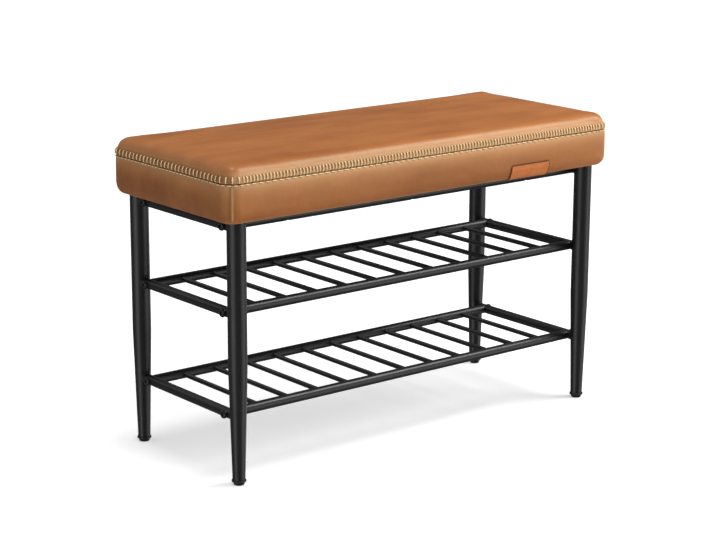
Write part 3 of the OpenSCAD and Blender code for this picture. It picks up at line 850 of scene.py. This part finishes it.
def round_the_outline():
    """Places for the upright stitches, in order round the outline: place between corner centres, and turn."""
    spots = []
    for corner, (a, b) in enumerate([((-1, -1), (1, -1)), ((1, -1), (1, 1)), ((1, 1), (-1, 1)), ((-1, 1), (-1, -1))]):
        count = BARS_LONG if corner % 2 == 0 else BARS_SHORT
        face = math.radians(-90 + 90 * corner)
        for k in range(count):
            share = (k + 0.5) / count
            spots.append((a[0] + (b[0] - a[0]) * share, a[1] + (b[1] - a[1]) * share, face))
        for k in range(BARS_TURN):
            spots.append((b[0], b[1], face + math.pi / 2 * (k + 0.5) / BARS_TURN))
    return spots


def seam_face(share_up):
    """Inset, height and turn of the skin at the stitches: up the band and over the rounded edge."""
    straight = EDGE_Z - BAR_LOW_Z
    run = share_up * (straight + EDGE_R * BAR_TOP_TURN)
    turned = np.maximum(run - straight, 0) / EDGE_R
    inset = SIDE_IN + EDGE_R * (1 - np.cos(turned))
    height = np.where(run < straight, BAR_LOW_Z + run, EDGE_Z + EDGE_R * np.sin(turned))
    return inset, height, turned


def arch(share, rise, dive):
    """How far a stitch stands off the skin: it rises in the middle, and its ends dive into the leather."""
    return THREAD_R * (rise - dive * abs(2 * share - 1) ** 7)


def thickness(share, least, more):
    """A stitch's radius, least at its ends where it is drawn tight."""
    return THREAD_R * (least + more * np.sin(np.pi * share) ** 0.5)


def stitch(places):
    """A stitch made of the strand, with its points in new places."""
    piece = copy_to(strand, "stitch", Matrix())
    write_points(piece.data, places)
    return piece


# A short round strand along Z, from 0 to 1, with rings to bend it at
bpy.ops.mesh.primitive_cylinder_add(vertices=6, radius=1, depth=1, location=(0, 0, 0.5), end_fill_type="TRIFAN")
strand = bpy.context.object
bpy.ops.object.transform_apply(location=True, rotation=False, scale=False)
for k in range(1, STRAND_RINGS + 1):
    open_mesh(strand)
    bpy.ops.mesh.bisect(plane_co=(0, 0, k / (STRAND_RINGS + 1)), plane_no=(0, 0, 1))
    bpy.ops.object.mode_set(mode="OBJECT")

dice = np.random.default_rng(7)
across, aside, share = read_points(strand.data).T
spots = round_the_outline()
stitches = []
inset, height, turned = seam_face(share)
for along_x, along_y, face in spots:
    fat = thickness(share, 0.8, 0.35) * dice.uniform(0.92, 1.08)
    out = arch(share, 0.5, 3.4) + across * fat * 0.85
    side = aside * fat + dice.uniform(-1, 1) * BAR_LEAN * (share - 0.5) * 2
    x, y = on_plan((along_x, along_y), (math.cos(face), math.sin(face)), inset)
    flat_out = out * np.cos(turned)
    stitches.append(stitch(np.stack([
        x + math.cos(face) * flat_out - math.sin(face) * side,
        y + math.sin(face) * flat_out + math.cos(face) * side,
        height + out * np.sin(turned),
    ], 1)))


def dash_between(a, b):
    """One dash from the foot of a stitch to the foot of a later one."""
    turn_b = b[2] + (2 * math.pi if b[2] < a[2] - 1e-6 else 0)
    along_x, along_y, face = (
        first + (last - first) * (DASH_FIRST + DASH_SHARE * share)
        for first, last in ((a[0], b[0]), (a[1], b[1]), (a[2], turn_b))
    )
    fat = thickness(share, 0.68, 0.27)
    out = arch(share, 0.55, 2.6) - DASH_IN + across * fat * 0.8
    x, y = on_plan((along_x, along_y), (np.cos(face), np.sin(face)), SIDE_IN)
    z = BAR_LOW_Z - DASH_DOWN + aside * fat * 0.9
    return stitch(np.stack([x + np.cos(face) * out, y + np.sin(face) * out, z], 1))


start = 0
while start < len(spots):
    along_x, along_y, face = spots[start]
    on_long_side = abs(along_x) < 1 and abs(along_y) == 1
    stop = start + (2 if on_long_side and abs(spots[(start + 2) % len(spots)][0]) < 1 else 1)
    stitches.append(dash_between(spots[start], spots[stop % len(spots)]))
    start = stop
bpy.data.objects.remove(strand)
stitching = joined(stitches, "stitching")


# Tag. A bare patch of firmer orange brown leather glued to the front of the band,
# its foot tucked round the cushion's lower edge, its edges pressed down and burnished,
# with painted shadow darkening its rim.
tag_low, tag_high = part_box("leather_tag")
TAG_T, TAG_CORNER_R, TAG_ROUNDED = 1.6 * MM, 5 * MM, 8 * MM
EDGE_PRESSED, PRESSED_W = 0.4 * MM, 1.6 * MM
BURNISH_AND_SHADE = (0.3 * MM, 2.4 * MM)
tag_walk = np.array([
    (x / (HALF_L - CORNER_R), -1, -math.pi / 2) for x in np.linspace(tag_low.x, tag_high.x, 61)
])
tag = wrapped_strip(
    "tag",
    tag_walk,
    [(SIDE_IN - TAG_T, z) for z in np.linspace(tag_high.z, UNDER_Z + LOW_EDGE_UP, 6)]
    + [low_edge(turn, TAG_T) for turn in np.radians(np.linspace(7, 80, 12))],
)
places = read_points(tag.data)
from_end = np.minimum(places[:, 0] - places[:, 0].min(), places[:, 0].max() - places[:, 0])
drop = TAG_CORNER_R - np.sqrt(np.maximum(TAG_CORNER_R**2 - np.maximum(TAG_CORNER_R - from_end, 0) ** 2, 0))
reach = np.clip((places[:, 2] - tag_high.z + TAG_ROUNDED) / TAG_ROUNDED, 0, 1)
places[:, 2] -= drop * reach
write_points(tag.data, places)

tag_finish, shader, place = new_finish("tag_leather", (0.6, 0.18, 0.038), 0.45, 0.35)
tone = ramp(noise(place, 55, 5.0, 0.6), (0.3, (0.54, 0.155, 0.03)), (0.7, (0.66, 0.205, 0.048)))
# The rim darkens towards its edge: a burnished edge with a painted shadow line.
rim = carried(tag_finish.node_tree, "dark_tone_and_painted_shade")
burnish_and_painted_shade = ramp(rim, (0.0, (0.13, 0.09, 0.07)), (0.55, (0.4, 0.3, 0.25)), (1.0, (1, 1, 1)))
set_inputs(shader, {"Base Color": multiplied(tone, burnish_and_painted_shade)})
bump(shader, cells(place, 900, feature="SMOOTH_F1"), 0.08 * MM)
tag.data.materials.append(tag_finish)


# Upholstery. The leather is drawn tight over the foam, which swells under it. Panels,
# thread and tag are bound to the cushion's form before it swells, so that they take
# its swelling; the leather then gets its thickness, its dents where it is sewn, and
# its painted shade and painted highlight.
soft_pieces = (foam, top_panel, side_band, stitching, tag)
open_mesh(form)
bpy.ops.mesh.quads_convert_to_tris(quad_method="SHORTEST_DIAGONAL")
bpy.ops.object.mode_set(mode="OBJECT")
for piece in soft_pieces:
    follow = piece.modifiers.new("follow", "SURFACE_DEFORM")
    follow.target = form
    only(piece)
    bpy.ops.object.surfacedeform_bind(modifier="follow")
write_points(form.data, rest + swell)
bpy.context.view_layer.update()
for piece in soft_pieces:
    only(piece)
    bpy.ops.object.modifier_apply(modifier="follow")


def hump(value, width):
    """1 where the value is 0, and fading smoothly over a width to both sides."""
    return np.exp(-(value / width) ** 2)


open_mesh(foam)
bpy.ops.mesh.remove_doubles(threshold=0.01 * MM)
bpy.ops.mesh.select_all(action="DESELECT")
bpy.ops.mesh.select_mode(type="EDGE")
bpy.ops.mesh.select_non_manifold(extend=False)
bpy.ops.mesh.fill(use_beauty=True)
bpy.ops.mesh.select_all(action="SELECT")
bpy.ops.mesh.normals_make_consistent(inside=False)
bpy.ops.object.mode_set(mode="OBJECT")
places, outwards = read_points(foam.data), read_points(foam.data, "normal")
pulled_in = FOAM_PULL * hump(places[:, 2] - SEAM_Z - 4 * MM, 12 * MM)
write_points(foam.data, places - outwards * pulled_in[:, None])
foam.data.shade_smooth()
bpy.ops.object.shade_smooth_by_angle(angle=math.radians(40))
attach(foam, "frame")
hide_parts("foam_pad")


FINE_BELOW, FINE_ABOVE = 9 * MM, 17 * MM


def thicken(panel):
    """Gives a panel the leather's thickness, and closer-set points on its outer face near the seam."""
    face_outwards(panel)
    outer = len(panel.data.polygons)
    add_modifier(panel, "SOLIDIFY", thickness=LEATHER, offset=-1)
    open_mesh(panel)
    bpy.ops.mesh.select_all(action="DESELECT")
    bpy.ops.object.mode_set(mode="OBJECT")
    for face in panel.data.polygons[:outer]:
        face.select = SEAM_Z - FINE_BELOW < face.center.z < SEAM_Z + FINE_ABOVE
    bpy.ops.object.mode_set(mode="EDIT")
    bpy.ops.mesh.subdivide(number_cuts=1, smoothness=0)
    bpy.ops.object.mode_set(mode="OBJECT")


def nearest_stitch(places):
    """How far round each point lies from the nearest upright stitch: 0 on it, 1 half way between."""
    flat_x, flat_y = HALF_L - CORNER_R, HALF_W - CORNER_R
    past_x, past_y = np.maximum(abs(places[:, 0]) - flat_x, 0), np.maximum(abs(places[:, 1]) - flat_y, 0)
    on_long = (places[:, 0] / flat_x / 2 + 0.5) * BARS_LONG
    on_short = (places[:, 1] / flat_y / 2 + 0.5) * BARS_SHORT
    on_turn = np.arctan2(past_y, past_x) / (math.pi / 2) * BARS_TURN
    count = np.where(past_x <= 0, on_long, np.where(past_y <= 0, on_short, on_turn))
    return abs(2 * (count % 1) - 1)


def smooth_step(value, low, high):
    """0 below low, 1 above high, and smooth between."""
    share = np.clip((value - low) / (high - low), 0, 1)
    return share * share * (3 - 2 * share)


def write_values(mesh, name, values):
    """Gives each point of a mesh a value under a name."""
    mesh.attributes.new(name, "FLOAT", "POINT").data.foreach_set("value", values.astype(np.float32))


SEAM_PULL, PUCKER = 1.6 * MM, 0.3 * MM
EDGE_LEAN = 1.4 * MM
RIDGE_H, GROOVE_T = 0.9 * MM, 0.6 * MM


def dent(panel, top):
    """Presses the leather in under the thread, lets it puff between stitches, and pinches the band's corner seams.

    Painted shade and painted highlight are written to each point as well: darker between stitches, along the seam's
    crease, in the corner grooves and at the ends, and paler near the seam, along the low edge and on the corner
    ridges.
    """
    places, outwards = read_points(panel.data), read_points(panel.data, "normal")
    on_stitch = 1 - nearest_stitch(places)
    x, y, z = places.T
    at_end = smooth_step(abs(outwards[:, 0]), 0.4, 0.8)
    if top:
        up = z - SEAM_Z
        zone = smooth_step(up, 0, 1.5 * MM) * (1 - smooth_step(up, 9 * MM, 14 * MM))
        lean = smooth_step(up, 0, 9 * MM) * (1 - smooth_step(up, 10 * MM, 22 * MM))
        push = PUCKER * zone * on_stitch - EDGE_LEAN * lean
        # Painted shade: darker between the stitches and more at the ends, where shade falls; the small base darkens
        # the whole top as a plain tone.
        dark = 0.04 + zone * (0.03 + 0.28 * on_stitch + 0.28 * at_end)
        # Painted highlight: paler over the rounded edge above the seam, less at the ends.
        light = (0.6 - 0.35 * at_end) * (1 - smooth_step(up, 11 * MM, 22 * MM))
    else:
        near = np.exp((z - SEAM_Z) / (5 * MM))
        push = -near * (SEAM_PULL + PUCKER * on_stitch)
        # Painted shade: a dark line in the crease below the seam, and the lower band darker at the ends.
        dark = smooth_step(z, SEAM_Z - 2.4 * MM, SEAM_Z - 1.4 * MM) * 0.5
        dark = np.maximum(dark, 0.2 * at_end * smooth_step(SEAM_Z - z, 12 * MM, 34 * MM))
        # Painted highlight: paler up towards the seam, less at the ends, and a thin pale line along the low edge.
        light = (1 - 0.2 * at_end) * np.exp((z - SEAM_Z) / (10 * MM)) + 0.8 * hump(z - UNDER_Z + 1.6 * MM, 1.1 * MM)
        past_x, past_y = abs(x) - HALF_L + CORNER_R, abs(y) - HALF_W + CORNER_R
        off = np.where((past_x > 0) & (past_y > 0), (np.arctan2(past_y, past_x) - math.pi / 4) * CORNER_R, 1)
        fade = smooth_step(z, UNDER_Z + 1 * MM, UNDER_Z + 6 * MM)
        ridge = fade * hump(off - 5 * MM, 1.5 * MM)
        groove = fade * hump(off - 2.2 * MM, 0.9 * MM)
        push = push + RIDGE_H * ridge - GROOVE_T * groove
        # Painted shade in the corner seams' grooves, painted highlight on their ridges.
        dark = np.maximum(dark, 0.45 * groove)
        light = np.maximum(light, 0.8 * ridge)
    away = outwards[:, 0] * x / HALF_L**2 + outwards[:, 1] * y / HALF_W**2 + 0.2 * outwards[:, 2] * top
    write_points(panel.data, places + outwards * (push * (away > 0))[:, None])
    write_values(panel.data, "dark_tone_and_painted_shade", 1 - dark)
    write_values(panel.data, "painted_highlight", np.clip(light, 0, 1))


for panel, node in ((top_panel, "leather_top"), (side_band, "leather_band")):
    thicken(panel)
    dent(panel, panel is top_panel)
    panel.data.shade_smooth()
    panel.data.materials.append(leather)
    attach(panel, "frame")
    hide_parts(node)

stitching.data.shade_smooth()
stitching.data.materials.append(thread)
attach(stitching, "frame")
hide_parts("seam_thread")

places = read_points(tag.data)
from_side = np.minimum(places[:, 0] - places[:, 0].min(), places[:, 0].max() - places[:, 0])
from_rim = np.minimum(from_side, places[:, 2].max() - places[:, 2])
places[:, 1] += EDGE_PRESSED * (1 - smooth_step(from_rim, 0, PRESSED_W))
write_points(tag.data, places)
# Painted shade on the tag's rim, with its burnished edge.
write_values(tag.data, "dark_tone_and_painted_shade", smooth_step(from_rim, *BURNISH_AND_SHADE))
add_modifier(tag, "SOLIDIFY", thickness=TAG_T, offset=-1)
tag.data.shade_smooth()
only(tag)
bpy.ops.object.shade_smooth_by_angle(angle=math.radians(50))
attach(tag, "frame")
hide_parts("leather_tag")


# Dust cover. Black spun cloth stretched over the board's underside inside the
# leather's turned edge, and stapled all round; it creases a little between staples.
COVER_T = 0.4 * MM
cover_low, cover_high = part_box("dust_cover")
cover_l, cover_w = cover_high.x - cover_low.x, cover_high.y - cover_low.y
SAG, PUCKER_IN, CREASE = 1.2 * MM, 0.9 * MM, 0.5 * MM
EDGE_FADE, STAPLE_PITCH = 14 * MM, 48 * MM
HELD_R, SLACK_FROM, CREASE_FROM = 10 * MM, 45 * MM, 20 * MM
spun, shader, place = new_finish("spun_cloth", (0.02, 0.02, 0.02), 0.85, 0.2)
fibres = noise(place, 700, 5.0, 0.7)
set_inputs(shader, {"Base Color": ramp(fibres, (0.35, (0.011, 0.011, 0.012)), (0.65, (0.034, 0.034, 0.035)))})
pressed = bump(shader, cells(place, 520, 0.15), 0.2 * MM)
bump(shader, fibres, 0.1 * MM, below=pressed)

bpy.ops.mesh.primitive_grid_add(x_subdivisions=180, y_subdivisions=66, size=2)
dust_sheet = bpy.context.object
dust_sheet.name = "dust_sheet"
places = read_points(dust_sheet.data)
u, v = places[:, 0], places[:, 1]
x, y = u * cover_l / 2, v * cover_w / 2
between_x = 0.5 - 0.5 * np.cos(2 * math.pi * x / STAPLE_PITCH)
between_y = 0.5 - 0.5 * np.cos(2 * math.pi * y / STAPLE_PITCH)
near_x = np.exp(-(1 - abs(u)) * cover_l / 2 / EDGE_FADE)
near_y = np.exp(-(1 - abs(v)) * cover_w / 2 / EDGE_FADE)
crease = CREASE * (between_x * near_y * (1 - near_x) + between_y * near_x * (1 - near_y))
slack = SAG * (1 - u**4) * (1 - v**4) * (0.75 + 0.25 * np.sin(9.3 * u + 2 * v) * np.cos(4.1 * v - 3 * u))
for side in SIDES:
    for hole_x in (-SCREW_X, 0, SCREW_X):
        away = np.hypot(x - hole_x, y - middle_of(f"seat_rail_{side}").y) - HELD_R
        slack = slack * np.clip(away / SLACK_FROM, 0, 1)
        crease = crease * np.clip(away / CREASE_FROM, 0, 1)
write_points(dust_sheet.data, np.stack([
    x - np.sign(x) * PUCKER_IN * between_y * near_x,
    y - np.sign(y) * PUCKER_IN * between_x * near_y,
    cover_high.z - COVER_T - slack - crease,
], 1))
open_mesh(dust_sheet)
bpy.ops.mesh.flip_normals()
bpy.ops.object.mode_set(mode="OBJECT")
add_modifier(dust_sheet, "SOLIDIFY", thickness=COVER_T, offset=-1)
dust_sheet.data.shade_smooth()
dust_sheet.data.materials.append(spun)
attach(dust_sheet, "frame")
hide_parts("dust_cover")


# Staples. Flat galvanised wire, two rows: one holds the leather's turned edge to
# the board, the other the dust cover.
STAPLE_W, WIRE, STAPLE_H = 10 * MM, 1.1 * MM, 0.6 * MM
LEATHER_PITCH, ROW_ENDS = 31 * MM, 20 * MM
ASKEW = 0.12
bpy.ops.mesh.primitive_cube_add(size=1)
bpy.context.object.dimensions = (STAPLE_W, WIRE, STAPLE_H)
staple = new_piece("staple_template")
rounded(staple, 0.22 * MM, 1)
staples = []
for out, pitch, z in (
    (-5 * MM, STAPLE_PITCH, cover_high.z - COVER_T - 0.25 * MM),
    (7 * MM, LEATHER_PITCH, UNDER_Z - 0.15 * MM),
):
    half_l, half_w = cover_l / 2 + out, cover_w / 2 + out
    for along, across, turn in ((half_l, half_w, 0), (half_w, half_l, math.pi / 2)):
        count = int((2 * along - ROW_ENDS) / pitch)
        for side in (-1, 1):
            for k in range(count + 1):
                where = (k - count / 2) * pitch
                x, y = (side * across, where) if turn else (where, side * across)
                there = Matrix.Translation((x, y, z)) @ Matrix.Rotation(turn + dice.uniform(-ASKEW, ASKEW), 4, "Z")
                staples.append(copy_to(staple, "staple", there))
bpy.data.objects.remove(staple)
staple_rows = joined(staples, "staples")
staple_rows.data.materials.append(zinc)
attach(staple_rows, "frame")


bpy.data.objects.remove(form)
